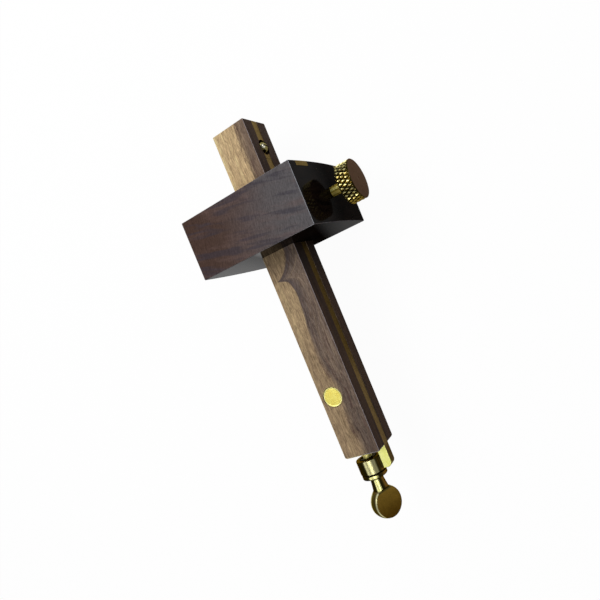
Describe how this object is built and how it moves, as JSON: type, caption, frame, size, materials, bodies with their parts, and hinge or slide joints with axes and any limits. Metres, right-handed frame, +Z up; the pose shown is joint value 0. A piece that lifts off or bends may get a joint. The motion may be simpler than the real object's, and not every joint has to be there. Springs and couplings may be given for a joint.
{
  "type": "screw slide mortise gauge",
  "caption": "Mortise marking gauge: a hardwood stock clamped on a square stem by a knurled screw, with a brass slide and thumb turn that set a steel spur apart from a fixed one.",
  "frame": {"origin": "centre of the stock's back face, on the bench the gauge lies on, midway through the stock's thickness and under the stem's axis", "axes": "+X along the stem from the spurs to the thumb turn, +Y towards the knurled knob, +Z up, away from the bench face"},
  "size_m": [0.2041, 0.0805, 0.0573],
  "materials": {
    "stock_wood": "dark rosewood under satin lacquer",
    "stem_wood": "streaked brown rosewood under satin lacquer",
    "strip_brass": "filed flush and lacquered",
    "slide_brass": "drawn bar, dull polish",
    "dowel_brass": "faced flush, bright",
    "turned_brass": "turned and polished",
    "knob_brass": "diamond knurled band, plain faces",
    "screw_brass": "turned bar",
    "spur_steel": "hardened and ground to a point",
    "ring_steel": "dark spring steel"
  },
  "bodies": {
    "stock_body": {"stock": "stock_wood", "wear_strip_upper": "strip_brass", "wear_strip_lower": "strip_brass", "lock_bush": "screw_brass"},
    "shoe_body": {"pressure_shoe": "screw_brass"},
    "lock_body": {"lock_screw": "screw_brass", "lock_knob": "knob_brass"},
    "stem_body": {"stem": "stem_wood", "end_plate": "slide_brass", "end_plate_screw": "screw_brass", "fixed_spur": "spur_steel", "dowel_nut": "dowel_brass"},
    "slide_body": {"slide_bar": "slide_brass", "spur_carriage": "slide_brass", "moving_spur": "spur_steel", "slide_boss": "turned_brass"},
    "turn_body": {"adjusting_screw": "screw_brass", "retaining_ring": "ring_steel", "thumb_turn": "turned_brass"}
  },
  "joints": [
    {"name": "stem_slide", "type": "slide", "parent": "stock_body", "child": "stem_body", "axis": [1, 0, 0], "range_m": [-0.095, 0.0079]},
    {"name": "slide_travel", "type": "slide", "parent": "stem_body", "child": "slide_body", "axis": [1, 0, 0], "range_m": [0, 0.016]},
    {"name": "thumb_turn_spin", "type": "hinge", "parent": "slide_body", "child": "turn_body", "pos_m": [0.13115, -0.0028, 0.02865], "axis": [1, 0, 0], "range_deg": [0, 7204]},
    {"name": "shoe_lift", "type": "slide", "parent": "stock_body", "child": "shoe_body", "axis": [0, 1, 0], "range_m": [0, 0.0024]},
    {"name": "lock_screw_turn", "type": "hinge", "parent": "shoe_body", "child": "lock_body", "pos_m": [0, 0.04015, 0.02865], "axis": [0, 1, 0], "range_deg": [0, 1237]}
  ],
  "couplings": [
    {"joint": "thumb_turn_spin", "follows": "slide_travel", "rad_per_m": 7854},
    {"joint": "lock_screw_turn", "follows": "shoe_lift", "rad_per_m": 8976}
  ]
}
